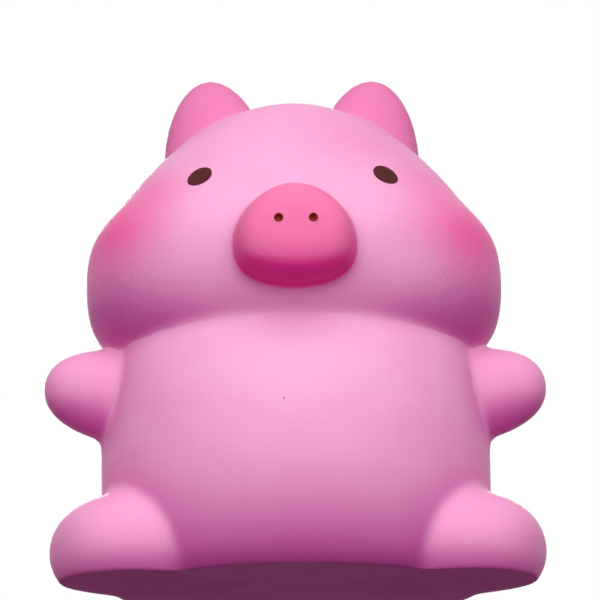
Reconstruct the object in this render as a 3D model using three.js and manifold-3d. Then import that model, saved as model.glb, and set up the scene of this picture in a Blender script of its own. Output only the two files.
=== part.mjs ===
// Squishy pig: a sitting figure moulded in soft foam, with stub arms, short legs, ears, snout and tail.
// Millimetres, +Z up. The figure faces -Y, and the origin is the middle of its flat sole.
import * as THREE from 'three';
import { mergeVertices } from 'three/addons/utils/BufferGeometryUtils.js';
import Module from 'manifold-3d';

// Space left where two pieces meet
const CLEARANCE = 0.3;

// Torso: heights are above the sole, and a pull is how far a curve keeps its starting direction
const SOLE_WIDTH = 70;
const SOLE_EDGE_PULL = 4.2;
const BELLY_WIDTH = 79.2;
const BELLY_DEPTH = 74.8;
const BELLY_HEIGHT = 26;
const FLANK_PULL = 20;
const SHOULDER_RISE = 40;
const SHOULDER_PULL = 37;
const SHOULDER_CROWN_PULL = 24;
// From its deepest height the belly rounds away, and loses these shares of its depth at the sole and the neck
const BELLY_DEEPEST_HEIGHT = 22;
const SOLE_ROUNDING = 0.2;
const NECK_ROUNDING = 0.045;

// Head: a bowl up to the cheeks, drawn in at the temples, then a domed crown
const HEAD_SEAT_HEIGHT = 43.8;
const HEAD_FORWARD = 1;
const HEAD_DEPTH = 70;
const CHIN_PULL = 36;
const JOWL_RISE = 19;
const JOWL_PULL = 15.4;
const CHEEK_WIDTH = 84.9;
const CHEEK_PULL = 11;
const TEMPLE_RISE = 18.7;
const TEMPLE_WIDTH = 67;
const TEMPLE_SLOPE_ANGLE = 52.5;
const TEMPLE_LOWER_PULL = 8.7;
const TEMPLE_UPPER_PULL = 11.8;
const CROWN_RISE = 19.8;
const CROWN_PULL = 14;
// The face and the back of the head slope in below this height, and lose this share of their depth at the seat
const CHIN_SLOPE_RISE = 25.2;
const CHIN_ROUNDING = 0.14;

// Limbs: each starts inside the larger form and runs out to a round tip, with angles in degrees
const ARM = { width: 20, depth: 20, length: 22.4, sidePull: 15.5, tipPull: 6.2 };
const ARM_INSET = 10.6;
const ARM_DROP = 5;
const ARM_FORWARD = 2.2;
const ARM_SWING_ANGLE = 7;
const ARM_LIFT_ANGLE = 8;
const LEG = { width: 27.4, depth: 37.4, length: 38.4, sidePull: 26.7, tipPull: 10.7 };
const HIP_SPACING = 27;
const HIP_FORWARD = 1.3;
const HIP_HEIGHT = 8.2;
const LEG_SWING_ANGLE = 24.6;
const LEG_LIFT_ANGLE = -4.4;
const EAR = { width: 23.8, depth: 15, length: 25.3, sidePull: 16.2, tipPull: 5.5 };
const EAR_SPACING = 28.6;
const EAR_BACK = 4;
const EAR_DROP = 18.5;
const EAR_TILT_ANGLE = 6.7;
const TAIL = { width: 12, depth: 12, length: 16, sidePull: 10, tipPull: 5 };
const TAIL_INSET = 6;
const TAIL_HEIGHT = 20;
const TAIL_LIFT_ANGLE = 12;
const TAIL_CURL = 5;

// Face: how far the snout and the paint sit towards the pig's right
const FACE_SHIFT = 0.7;

// Snout: a round-edged muzzle, narrower at the top and fuller in its lower corners
const SNOUT_WIDTH = 23.85;
const SNOUT_TALLNESS = 20.4;
const SNOUT_HEIGHT = 65.8;
const SNOUT_REACH = 8.5;
const SNOUT_LENGTH = 19;
const SNOUT_BARREL = 9;
const SNOUT_EDGE_PULL = 9;
const SNOUT_FACE_PULL = 9;
const SNOUT_TOP_TAPER = 0.13;
const SNOUT_LOW_FULLNESS = 0.21;

// Painted features: the paint is a thin inlay, flush with the foam
const EYE_DIAMETER = 5.7;
const EYE_SPACING = 37.6;
const EYE_HEIGHT = 80.7;
const EYE_PAINT = 0.6;
const NOSTRIL_DIAMETER = 1.5;
const NOSTRIL_DEPTH = 2;
const NOSTRIL_PAINT = 0.3;
const NOSTRIL_SPACING = 6.9;
const NOSTRIL_RISE = 1.4;

// Fineness of the curved surfaces
const PROFILE_STEPS = 8;
const BODY_SIDES = 44;
const LIMB_SIDES = 22;
const SNOUT_SIDES = 34;
const PAINT_SIDES = 16;

const FOAM_PINK = new THREE.MeshStandardMaterial({ color: 0xf7a6d4, roughness: 0.5, metalness: 0 });
const EAR_PINK = new THREE.MeshStandardMaterial({ color: 0xf078b4, roughness: 0.5, metalness: 0 });
const SNOUT_PINK = new THREE.MeshStandardMaterial({ color: 0xf682b2, roughness: 0.5, metalness: 0 });
const EYE_BROWN = new THREE.MeshStandardMaterial({ color: 0x582525, roughness: 0.6, metalness: 0 });
const NOSTRIL_BROWN = new THREE.MeshStandardMaterial({ color: 0x4b1e1c, roughness: 0.6, metalness: 0 });

const CHEEK_HEIGHT = HEAD_SEAT_HEIGHT + JOWL_RISE;
const TEMPLE_HEIGHT = CHEEK_HEIGHT + TEMPLE_RISE;
const CROWN_HEIGHT = TEMPLE_HEIGHT + CROWN_RISE;

const wasm = await Module();
wasm.setup();

const radians = THREE.MathUtils.degToRad;

// Turns a closed geometry into a solid that can be cut and joined.
function solidOf(geometry) {
  const bare = geometry.clone();
  bare.deleteAttribute('normal');
  bare.deleteAttribute('uv');
  const merged = mergeVertices(bare, 1e-4);
  const corners = merged.index.array;
  const triangles = [];
  for (let i = 0; i < corners.length; i += 3) {
    const [a, b, c] = corners.slice(i, i + 3);
    const hasArea = a !== b && b !== c && c !== a;
    if (hasArea) triangles.push(a, b, c);
  }
  const mesh = new wasm.Mesh({
    numProp: 3,
    vertProperties: new Float32Array(merged.attributes.position.array),
    triVerts: new Uint32Array(triangles),
  });
  return new wasm.Manifold(mesh);
}

// Makes the named piece of the scene from a finished solid.
function piece(name, solid, material) {
  const { vertProperties, triVerts } = solid.getMesh();
  const geometry = new THREE.BufferGeometry();
  geometry.setAttribute('position', new THREE.BufferAttribute(vertProperties, 3));
  geometry.setIndex(new THREE.BufferAttribute(triVerts, 1));
  geometry.computeVertexNormals();
  const mesh = new THREE.Mesh(geometry, material);
  mesh.name = name;
  return mesh;
}

// Revolves radius and height points, listed upwards, about +Z.
function revolve(points, sides) {
  return new THREE.LatheGeometry(points, sides).rotateX(Math.PI / 2);
}

// Moves a profile outwards by the same amount all along, or inwards for a negative amount.
function grown(points, amount) {
  const last = points.length - 1;
  return points.map((point, i) => {
    const along = points[Math.min(i + 1, last)].clone().sub(points[Math.max(i - 1, 0)]).normalize();
    const onAxis = i === 0 || i === last;
    const radius = onAxis ? 0 : point.x + along.y * amount;
    return new THREE.Vector2(radius, point.y - along.x * amount);
  });
}

function torsoProfile() {
  const sole = SOLE_WIDTH / 2;
  const belly = BELLY_WIDTH / 2;
  const top = BELLY_HEIGHT + SHOULDER_RISE;
  const path = new THREE.Path();
  path.moveTo(0, 0);
  path.lineTo(sole, 0);
  path.bezierCurveTo(sole + SOLE_EDGE_PULL, 0, belly, BELLY_HEIGHT - FLANK_PULL, belly, BELLY_HEIGHT);
  path.bezierCurveTo(belly, BELLY_HEIGHT + SHOULDER_PULL, SHOULDER_CROWN_PULL, top, 0, top);
  return path.getPoints(PROFILE_STEPS);
}

function headProfile() {
  const cheek = CHEEK_WIDTH / 2;
  const temple = TEMPLE_WIDTH / 2;
  const inwards = Math.cos(radians(TEMPLE_SLOPE_ANGLE));
  const upwards = Math.sin(radians(TEMPLE_SLOPE_ANGLE));
  const path = new THREE.Path();
  path.moveTo(0, HEAD_SEAT_HEIGHT);
  path.bezierCurveTo(CHIN_PULL, HEAD_SEAT_HEIGHT, cheek, CHEEK_HEIGHT - JOWL_PULL, cheek, CHEEK_HEIGHT);
  path.bezierCurveTo(
    cheek, CHEEK_HEIGHT + CHEEK_PULL,
    temple + TEMPLE_LOWER_PULL * inwards, TEMPLE_HEIGHT - TEMPLE_LOWER_PULL * upwards,
    temple, TEMPLE_HEIGHT,
  );
  path.bezierCurveTo(
    temple - TEMPLE_UPPER_PULL * inwards, TEMPLE_HEIGHT + TEMPLE_UPPER_PULL * upwards,
    CROWN_PULL, CROWN_HEIGHT,
    0, CROWN_HEIGHT,
  );
  return path.getPoints(PROFILE_STEPS);
}

// Takes a share of a form's depth away, more and more on the way from one height to another and past it.
function narrowed(form, from, to, share) {
  const place = form.attributes.position;
  for (let i = 0; i < place.count; i += 1) {
    const way = Math.max((place.getZ(i) - from) / (to - from), 0);
    place.setY(i, place.getY(i) * (1 - share * way * way));
  }
  return form;
}

function torsoForm(growth) {
  const form = revolve(grown(torsoProfile(), growth), BODY_SIDES);
  form.scale(1, BELLY_DEPTH / BELLY_WIDTH, 1);
  narrowed(form, BELLY_DEEPEST_HEIGHT, 0, SOLE_ROUNDING);
  narrowed(form, BELLY_DEEPEST_HEIGHT, HEAD_SEAT_HEIGHT, NECK_ROUNDING);
  return solidOf(form);
}

function headForm(growth) {
  const form = revolve(grown(headProfile(), growth), BODY_SIDES);
  form.scale(1, HEAD_DEPTH / CHEEK_WIDTH, 1);
  narrowed(form, HEAD_SEAT_HEIGHT + CHIN_SLOPE_RISE, HEAD_SEAT_HEIGHT, CHIN_ROUNDING);
  return solidOf(form.translate(0, -HEAD_FORWARD, 0));
}

// A limb along +Z: a round root that keeps its width for a while, then closes to a round tip.
function limbForm(limb) {
  const root = limb.width / 2;
  const path = new THREE.Path();
  path.moveTo(0, 0);
  path.lineTo(root, 0);
  path.bezierCurveTo(root, limb.sidePull, limb.tipPull, limb.length, 0, limb.length);
  return revolve(path.getPoints(PROFILE_STEPS), LIMB_SIDES).scale(1, limb.depth / limb.width, 1);
}

// Turns an upright limb to point sideways, raised by lift and brought forward by swing.
function aimSideways(form, side, lift, swing) {
  return form.rotateY(side * radians(90 - lift)).rotateZ(-side * radians(swing));
}

function armForm(side) {
  const arm = aimSideways(limbForm(ARM), side, ARM_LIFT_ANGLE, ARM_SWING_ANGLE);
  const shoulder = BELLY_WIDTH / 2 - ARM_INSET;
  return solidOf(arm.translate(side * shoulder, -ARM_FORWARD, HEAD_SEAT_HEIGHT - ARM_DROP));
}

function legForm(side) {
  const leg = aimSideways(limbForm(LEG), side, LEG_LIFT_ANGLE, LEG_SWING_ANGLE);
  return solidOf(leg.translate(side * HIP_SPACING / 2, -HIP_FORWARD, HIP_HEIGHT));
}

function earForm(side) {
  const ear = limbForm(EAR).rotateY(side * radians(EAR_TILT_ANGLE));
  return solidOf(ear.translate(side * EAR_SPACING / 2, EAR_BACK, CROWN_HEIGHT - EAR_DROP));
}

// The tail curls up more and more towards its tip.
function tailForm() {
  const tail = limbForm(TAIL);
  const place = tail.attributes.position;
  for (let i = 0; i < place.count; i += 1) {
    const run = place.getZ(i) / TAIL.length;
    place.setY(i, place.getY(i) - TAIL_CURL * run * run);
  }
  tail.rotateX(-radians(90 - TAIL_LIFT_ANGLE));
  return solidOf(tail.translate(0, BELLY_DEPTH / 2 - TAIL_INSET, TAIL_HEIGHT));
}

const SNOUT_FRONT = HEAD_FORWARD + HEAD_DEPTH / 2 + SNOUT_REACH;

function snoutForm() {
  const radius = SNOUT_WIDTH / 2;
  const path = new THREE.Path();
  path.moveTo(0, 0);
  path.lineTo(radius, 0);
  path.lineTo(radius, SNOUT_BARREL);
  path.bezierCurveTo(radius, SNOUT_BARREL + SNOUT_EDGE_PULL, SNOUT_FACE_PULL, SNOUT_LENGTH, 0, SNOUT_LENGTH);
  const snout = revolve(path.getPoints(PROFILE_STEPS), SNOUT_SIDES);
  snout.rotateX(Math.PI / 2).scale(1, 1, SNOUT_TALLNESS / SNOUT_WIDTH);
  const place = snout.attributes.position;
  for (let i = 0; i < place.count; i += 1) {
    const rise = place.getZ(i) / (SNOUT_TALLNESS / 2);
    const low = Math.min(rise, 0);
    place.setX(i, place.getX(i) * (1 - SNOUT_TOP_TAPER * rise + SNOUT_LOW_FULLNESS * low * low));
  }
  return solidOf(snout.translate(-FACE_SHIFT, SNOUT_LENGTH - SNOUT_FRONT, SNOUT_HEIGHT));
}

// A round rod centred on a point, along a direction.
function rod(diameter, length, centre, direction) {
  const form = new THREE.CylinderGeometry(diameter / 2, diameter / 2, length, PAINT_SIDES);
  const turn = new THREE.Quaternion().setFromUnitVectors(new THREE.Vector3(0, 1, 0), direction);
  return solidOf(form.applyQuaternion(turn).translate(centre.x, centre.y, centre.z));
}

// The point of the face at a given place across and up, and the way the skin faces there.
function faceAt(across, height) {
  const points = headProfile();
  const above = points.findIndex((point) => point.y > height && point.y > CHEEK_HEIGHT);
  const low = points[above - 1];
  const high = points[above];
  const slope = (high.x - low.x) / (high.y - low.y);
  const radius = low.x + slope * (height - low.y);
  const flatness = HEAD_DEPTH / CHEEK_WIDTH;
  const forward = Math.sqrt(radius * radius - across * across);
  return {
    point: new THREE.Vector3(across, -HEAD_FORWARD - flatness * forward, height),
    facing: new THREE.Vector3(across, -forward / flatness, -radius * slope).normalize(),
  };
}

function eyeRod(side, diameter) {
  const { point, facing } = faceAt(side * EYE_SPACING / 2 - FACE_SHIFT, EYE_HEIGHT);
  return rod(diameter, EYE_DIAMETER * 2, point, facing);
}

function nostrilRod(side, diameter, depth) {
  const across = side * NOSTRIL_SPACING / 2 - FACE_SHIFT;
  const centre = new THREE.Vector3(across, -SNOUT_FRONT, SNOUT_HEIGHT + NOSTRIL_RISE);
  return rod(diameter, depth * 2, centre, new THREE.Vector3(0, 1, 0));
}

const SIDES = [['left', -1], ['right', 1]];
const headAround = headForm(CLEARANCE);
const torsoAround = torsoForm(CLEARANCE);

// Everything below the surface that the figure stands on
const FLOOR_SIZE = 4 * (BELLY_WIDTH + LEG.length);
const floor = solidOf(new THREE.BoxGeometry(FLOOR_SIZE, FLOOR_SIZE, FLOOR_SIZE).translate(0, 0, -FLOOR_SIZE / 2));

let head = headForm(0);
let snout = snoutForm().subtract(headAround);
const underPaint = headForm(-EYE_PAINT);
const pocketFloor = headForm(-EYE_PAINT - CLEARANCE);

const pig = new THREE.Group();
pig.name = 'squishy_pig';
pig.add(piece('torso', torsoForm(0).subtract(headAround), FOAM_PINK));
pig.add(piece('tail', tailForm().subtract(torsoAround), FOAM_PINK));

for (const [name, side] of SIDES) {
  const arm = armForm(side).subtract(torsoAround).subtract(headAround);
  pig.add(piece(`arm_${name}`, arm, FOAM_PINK));
  const leg = legForm(side).subtract(torsoAround).subtract(floor);
  pig.add(piece(`leg_${name}`, leg, FOAM_PINK));
  pig.add(piece(`ear_${name}`, earForm(side).subtract(headAround), EAR_PINK));

  const eye = headForm(0).intersect(eyeRod(side, EYE_DIAMETER)).subtract(underPaint);
  pig.add(piece(`eye_${name}`, eye, EYE_BROWN));
  head = head.subtract(eyeRod(side, EYE_DIAMETER + 2 * CLEARANCE).subtract(pocketFloor));

  const paintDiameter = NOSTRIL_DIAMETER + 2 * NOSTRIL_PAINT;
  const dimple = nostrilRod(side, NOSTRIL_DIAMETER, NOSTRIL_DEPTH);
  const paint = nostrilRod(side, paintDiameter, NOSTRIL_DEPTH + NOSTRIL_PAINT);
  pig.add(piece(`nostril_${name}`, snoutForm().intersect(paint).subtract(dimple), NOSTRIL_BROWN));
  snout = snout.subtract(
    nostrilRod(side, paintDiameter + 2 * CLEARANCE, NOSTRIL_DEPTH + NOSTRIL_PAINT + CLEARANCE),
  );
}

pig.add(piece('head', head, FOAM_PINK));
pig.add(piece('snout', snout, SNOUT_PINK));

export default pig;
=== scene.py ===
import math
from functools import lru_cache

import bpy
import numpy as np
from bpy.props import FloatProperty, FloatVectorProperty, IntProperty, PointerProperty
from mathutils import Matrix, Vector
from mathutils.bvhtree import BVHTree
from mathutils.kdtree import KDTree


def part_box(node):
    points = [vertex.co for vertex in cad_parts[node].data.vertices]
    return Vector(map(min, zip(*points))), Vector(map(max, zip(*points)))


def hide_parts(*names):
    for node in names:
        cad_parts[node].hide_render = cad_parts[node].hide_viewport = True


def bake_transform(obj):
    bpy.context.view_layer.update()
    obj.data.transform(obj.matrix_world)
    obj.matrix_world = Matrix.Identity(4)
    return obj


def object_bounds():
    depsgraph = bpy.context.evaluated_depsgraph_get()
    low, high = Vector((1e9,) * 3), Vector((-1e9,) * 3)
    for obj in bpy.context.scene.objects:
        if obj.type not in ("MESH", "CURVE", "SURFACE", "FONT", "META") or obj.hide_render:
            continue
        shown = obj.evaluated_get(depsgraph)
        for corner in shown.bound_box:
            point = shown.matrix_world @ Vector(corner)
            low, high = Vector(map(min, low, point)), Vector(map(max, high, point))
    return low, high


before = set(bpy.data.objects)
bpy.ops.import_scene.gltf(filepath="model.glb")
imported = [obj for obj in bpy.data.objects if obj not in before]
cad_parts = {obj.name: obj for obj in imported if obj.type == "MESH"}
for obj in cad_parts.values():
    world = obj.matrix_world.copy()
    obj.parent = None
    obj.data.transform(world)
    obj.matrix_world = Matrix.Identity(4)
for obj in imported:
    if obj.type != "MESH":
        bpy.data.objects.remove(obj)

bl_info = {
    "name": "Squishy Pig",
    "version": (1, 0, 0),
    "blender": (4, 5, 0),
    "location": "View3D > Sidebar > Squishy Pig",
    "description": "Builds a slow-rising foam pig over its packed CAD frame",
    "category": "Object",
}

CAD_LOW, CAD_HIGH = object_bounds()
MM = 0.001
TORSO_LOW, TORSO_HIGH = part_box("torso")
HEAD_LOW, HEAD_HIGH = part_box("head")
# In front of the whole pig, for looking back at its face.
IN_FRONT = CAD_LOW.y - 10 * MM
BACKWARDS = Vector((0, 1, 0))

# Names of what the meshes note at their points for the paints.
PLACE = "mould_place"
EAR_SPRAY = "ear_spray"
SNOUT_SPRAY = "snout_spray"
# The next three notes hold painted shade: on what faces down, beside the limbs and towards the bottom.
UNDERSIDE_SHADE_NOTE = "low_spray"
CREASE_SHADE_NOTE = "crook_spray"
BOTTOM_SHADE_NOTE = "hem_spray"
PRINT_RING = "print_ring"

# Stands for a lobe that is too far from a place to be measured.
FAR = 1.0
# How much of the way to its neighbours' middle a place goes in one round.
SOFTENING = 0.5
# Faces that meet at a steeper angle keep a sharp edge.
SMOOTH_LIMIT = math.radians(50)
# The slant, outwards from upright, along which an ear bends.
EAR_LEAN = math.radians(27)


def length(name, description, metres):
    """A length that a user may change, in metres."""
    return FloatProperty(
        name=name,
        description=description,
        default=metres,
        min=0.0,
        precision=5,
        subtype="DISTANCE",
        unit="LENGTH",
    )


def turn(name, description, degrees):
    """An angle that a user may change."""
    return FloatProperty(
        name=name,
        description=description,
        default=math.radians(degrees),
        subtype="ANGLE",
        unit="ROTATION",
    )


def share(name, description, value):
    """A plain factor from nothing to all."""
    return FloatProperty(
        name=name,
        description=description,
        default=value,
        min=0.0,
        max=1.0,
        subtype="FACTOR",
    )


def rounds(name, description, count):
    """How often a smoothing is done."""
    return IntProperty(name=name, description=description, default=count, min=0)


def paint(name, description, red, green, blue):
    """A paint colour, given as the three screen values from 0 to 255."""
    return FloatVectorProperty(
        name=name,
        description=description,
        default=tuple(screen_to_linear(v) for v in (red, green, blue)),
        size=3,
        min=0.0,
        max=1.0,
        subtype="COLOR",
    )


def screen_to_linear(value):
    """One screen value from 0 to 255 as a linear amount of light."""
    part = value / 255
    if part <= 0.04045:
        return part / 12.92
    return ((part + 0.055) / 1.055) ** 2.4


class PigTorsoSizes(bpy.types.PropertyGroup):
    """The pear-shaped torso that stands on its flat sole."""

    belly_width: length("Belly width", "Widest part of the belly", TORSO_HIGH.x - TORSO_LOW.x)
    belly_depth: length("Belly depth", "Belly from front to back", 74.8 * MM)
    belly_height: length("Belly height", "Height of the widest part", 26 * MM)
    sole_width: length("Sole width", "Flat sole across", 74 * MM)
    sole_edge_pull: length("Sole edge", "How far the belly's curve starts out from the sole", 3.5 * MM)
    sole_slope: turn("Sole slope", "How steeply the belly rises from the sole", 42)
    sole_cut: length("Sole cut", "Depth of the foam that the flat sole cuts off", 3 * MM)
    flank_pull: length("Flank pull", "How upright the flanks stand", 20 * MM)
    shoulder_rise: length("Shoulder rise", "From the widest part to the crown", 40 * MM)
    shoulder_pull: length("Shoulder pull", "How full the shoulders are", 37 * MM)
    crown_pull: length("Crown pull", "How flat the hidden crown is", 24 * MM)
    deepest_height: length("Deepest height", "Height of the belly's deepest part", 22 * MM)
    sole_rounding: share("Sole rounding", "Share of the depth lost down to the sole", 0.12)
    neck_rounding: share("Neck rounding", "Share of the depth lost up to the neck", 0.045)


class PigHeadSizes(bpy.types.PropertyGroup):
    """The wide head with full cheeks and a narrower forehead."""

    cheek_width: length("Cheek width", "Widest part of the head", HEAD_HIGH.x - HEAD_LOW.x)
    depth: length("Head depth", "Head from front to back", 70 * MM)
    forward: length("Head forward", "How far the head stands forward", 1 * MM)
    seat_height: length("Head seat", "Height of the chin's lowest point", HEAD_LOW.z)
    crown_height: length("Crown height", "Top of the head", HEAD_HIGH.z)
    jowl_rise: length("Jowl rise", "From the chin to the widest part", 19 * MM)
    chin_pull: length("Chin pull", "How broad the chin is", 36 * MM)
    jowl_pull: length("Jowl pull", "How full the jowls are", 15.4 * MM)
    cheek_pull: length("Cheek pull", "How upright the cheeks stand", 11 * MM)
    temple_rise: length("Temple rise", "From the cheeks to the temples", 18.7 * MM)
    temple_width: length("Temple width", "Width where the cheeks end", 67 * MM)
    temple_slope: turn("Temple slope", "Slope of the hollow above the cheeks", 52.5)
    temple_lower_pull: length("Hollow below", "Reach of the hollow downwards", 8.7 * MM)
    temple_upper_pull: length("Hollow above", "Reach of the hollow upwards", 11.8 * MM)
    crown_pull: length("Crown pull", "How flat the crown is", 14 * MM)
    chin_slope_rise: length("Chin slope", "Height of the slope in to the chin", 25.2 * MM)
    chin_rounding: share("Chin rounding", "Share of the depth lost down to the seat", 0.14)


class PigLimbSizes(bpy.types.PropertyGroup):
    """Arms, legs, ears and tail, all rounded lobes."""

    arm_width: length("Arm width", "Arm across", 20 * MM)
    arm_length: length("Arm length", "Arm from its hidden root", 22.4 * MM)
    arm_side_pull: length("Arm side", "How long the arm stays thick", 15.5 * MM)
    arm_tip_pull: length("Arm tip", "How blunt the arm's end is", 6.2 * MM)
    arm_inset: length("Arm inset", "Depth of the arm's root in the flank", 10.6 * MM)
    arm_drop: length("Arm drop", "Arm below the head's seat", 5 * MM)
    arm_forward: length("Arm forward", "Arm in front of the middle", 2.2 * MM)
    arm_swing: turn("Arm swing", "Arm turned to the front", 7)
    arm_lift: turn("Arm lift", "Arm raised at its end", 8)
    leg_width: length("Leg width", "Leg from top to bottom, before the floor cuts it", 27.4 * MM)
    leg_depth: length("Leg depth", "Leg from front to back", 37.4 * MM)
    leg_length: length("Leg length", "Leg from its hidden root", 38.4 * MM)
    leg_side_pull: length("Leg side", "How long the leg stays thick", 26.7 * MM)
    leg_tip_pull: length("Leg tip", "How blunt the foot is", 10.7 * MM)
    hip_spacing: length("Hip spacing", "Between the legs' roots", 27 * MM)
    hip_forward: length("Hip forward", "Roots in front of the middle", 1.3 * MM)
    hip_height: length("Hip height", "Roots above the floor", 8.2 * MM)
    leg_swing: turn("Leg swing", "Leg turned to the front", 24.6)
    leg_lift: turn("Leg lift", "Foot raised at its end", -4.4)
    ear_width: length("Ear width", "Ear across", 23.8 * MM)
    ear_depth: length("Ear depth", "Ear from front to back", 15 * MM)
    ear_length: length("Ear length", "Ear from its hidden root", 25.3 * MM)
    ear_side_pull: length("Ear side", "How long the ear stays wide", 16.2 * MM)
    ear_tip_pull: length("Ear tip", "How blunt the ear is", 5.5 * MM)
    ear_spacing: length("Ear spacing", "Between the ears' roots", 28.6 * MM)
    ear_back: length("Ear back", "Ears behind the middle", 4 * MM)
    ear_drop: length("Ear drop", "Ears' roots below the crown", 18.5 * MM)
    ear_tilt: turn("Ear tilt", "Ears leaning outwards", 6.7)
    ear_bend: length("Ear bend", "Length over which an ear bends as it folds", 9 * MM)
    tail_width: length("Tail width", "Tail across", 12 * MM)
    tail_length: length("Tail length", "Tail from its hidden root", 16 * MM)
    tail_side_pull: length("Tail side", "How long the tail stays thick", 10 * MM)
    tail_tip_pull: length("Tail tip", "How blunt the tail is", 5 * MM)
    tail_inset: length("Tail inset", "Depth of the tail's root in the back", 6 * MM)
    tail_height: length("Tail height", "Tail above the floor", 20 * MM)
    tail_lift: turn("Tail lift", "Tail raised at its end", 12)
    tail_curl: length("Tail curl", "Tail's end bent upwards", 5 * MM)


class PigFaceSizes(bpy.types.PropertyGroup):
    """Snout, printed eyes and painted nostrils."""

    shift: length("Shift", "Snout and paint towards the pig's right", 0.7 * MM)
    snout_width: length("Snout width", "Snout across", 23.85 * MM)
    snout_tallness: length("Snout tallness", "Snout from top to bottom", 20.4 * MM)
    snout_height: length("Snout height", "Middle of the snout above the floor", 65.8 * MM)
    snout_reach: length("Snout reach", "Snout in front of the head", 8.5 * MM)
    snout_length: length("Snout length", "Snout from its hidden root", 19 * MM)
    snout_barrel: length("Snout barrel", "Straight part of the snout", 9 * MM)
    snout_edge_pull: length("Snout edge", "How full the snout's rim is", 9 * MM)
    snout_face_pull: length("Snout face", "How flat the snout's front is", 9 * MM)
    snout_taper: share("Snout taper", "How much narrower the top is", 0.13)
    snout_fullness: share("Snout fullness", "How much fuller the lower corners are", 0.21)
    eye_diameter: length("Eye diameter", "Printed eye across", 5.45 * MM)
    eye_spacing: length("Eye spacing", "Between the eyes", 37.6 * MM)
    eye_height: length("Eye height", "Eyes above the floor", 80.7 * MM)
    eye_proud: length("Eye paint", "Thickness of the print on the foam", 0.08 * MM)
    nostril_diameter: length("Nostril diameter", "Dimple across", 1.9 * MM)
    nostril_depth: length("Nostril depth", "Dimple's depth", 2.0 * MM)
    nostril_spacing: length("Nostril spacing", "Between the nostrils", 6.9 * MM)
    nostril_rise: length("Nostril rise", "Nostrils above the snout's middle", 1.4 * MM)
    nostril_paint: length("Nostril paint", "Thickness of the paint in a dimple", 0.08 * MM)


class PigFoamForm(bpy.types.PropertyGroup):
    """How the lobes melt together in the mould, and where the paint and the painted shade end on them.
    """

    grain: length("Grain", "Edge length of the moulding's faces", 0.65 * MM)
    skin_rounds: rounds("Skin rounds", "Rounds that soften the whole skin", 6)
    fillet_width: length("Fillet width", "How far a crease's fillet reaches", 5 * MM)
    fillet_rounds: rounds("Fillet rounds", "Rounds that fill each crease", 14)
    seam_rounds: rounds("Seam rounds", "Rounds that even the line where two pieces meet", 12)
    ear_overspray: length("Ear overspray", "How soft the ears' pink ends at their creases", 1.2 * MM)
    snout_overspray: length("Snout overspray", "How soft the snout's pink ends at its crease", 0.7 * MM)
    # The next three settings place painted shade beside the limbs and towards the bottom.
    crease_shade_reach: length("Crook reach", "How far the deeper pink beside a limb reaches", 11 * MM)
    crease_shade_edge: length("Crook edge", "How soft the spray ends at a limb", 2.5 * MM)
    bottom_shade_height: length("Hem height", "How far up the deeper pink above the sole reaches", 31 * MM)
    squeeze_end: length("Squeeze end", "Height above which all follows the head", 84 * MM)
    fill: share("Fill", "How full and tight the foam is", 1.0)


class PigPaints(bpy.types.PropertyGroup):
    """Colours of the airbrushed and printed paints, and of the painted shade and highlight."""

    skin: paint("Skin", "Soft pink of the foam", 252, 187, 222)
    skin_deep: paint("Deep skin", "Pink where the spray lies thicker", 249, 177, 217)
    blush: paint("Blush", "Cheeks' airbrushed pink", 255, 95, 168)
    ear: paint("Ear", "Ears' deeper pink", 234, 134, 184)
    snout: paint("Snout", "Snout's deeper pink", 252, 133, 180)
    # The snout's deepest pink, the crown's pink on the head, the shade, the deepest pink above the sole
    # and the deep pink low on the cheeks are painted shade; the belly's lightest pink is a painted
    # highlight. The crown's pink is also the limbs' own colour.
    snout_shading: paint("Snout below", "Deepest pink, under the snout", 250, 34, 158)
    belly: paint("Belly", "Lightest pink, on the belly", 254, 196, 228)
    crown: paint("Crown", "Deeper pink on the crown and the limbs", 251, 172, 214)
    shade: paint("Shade", "Deeper pink on undersides", 234, 120, 193)
    bottom_shading: paint("Hem", "Deepest pink, above the sole", 211, 102, 172)
    jowl_shading: paint("Jowl", "Deep pink low on the cheeks", 212, 110, 176)
    eye: paint("Eye", "Brown of the printed eyes", 74, 26, 18)
    eye_rim: paint("Eye rim", "Where the brown thins over the pink", 84, 14, 34)
    nostril: paint("Nostril", "Brown inside the nostrils", 190, 92, 76)


class PigStudio(bpy.types.PropertyGroup):
    """Camera, lamps and floor."""

    aim: FloatVectorProperty(
        name="Aim",
        description="Point in the middle of the picture",
        default=(0.001239, 0.0, 0.060596),
        size=3,
        subtype="TRANSLATION",
        unit="LENGTH",
    )
    azimuth: turn("Azimuth", "Camera to the right of the front", -1.73)
    elevation: turn("Elevation", "Camera above the level", -13.019)
    roll: turn("Roll", "Camera turned about its own axis", -0.668)
    distance: length("Distance", "Camera from the aim", 1.39835)
    lens: FloatProperty(
        name="Lens",
        description="Focal length in millimetres",
        default=409.76,
        unit="CAMERA",
    )


def settings(kind):
    """One of the pig's groups of settings on the scene."""
    return getattr(bpy.context.scene, "squishy_pig_" + kind)


def bezier(start, pull_out, pull_in, end, steps=28):
    """Points on one curve, without its first one."""
    points = []
    for step in range(1, steps + 1):
        t = step / steps
        s = 1 - t
        points.append(
            tuple(
                a * s**3 + 3 * b * s * s * t + 3 * c * s * t * t + d * t**3
                for a, b, c, d in zip(start, pull_out, pull_in, end)
            )
        )
    return points


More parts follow.
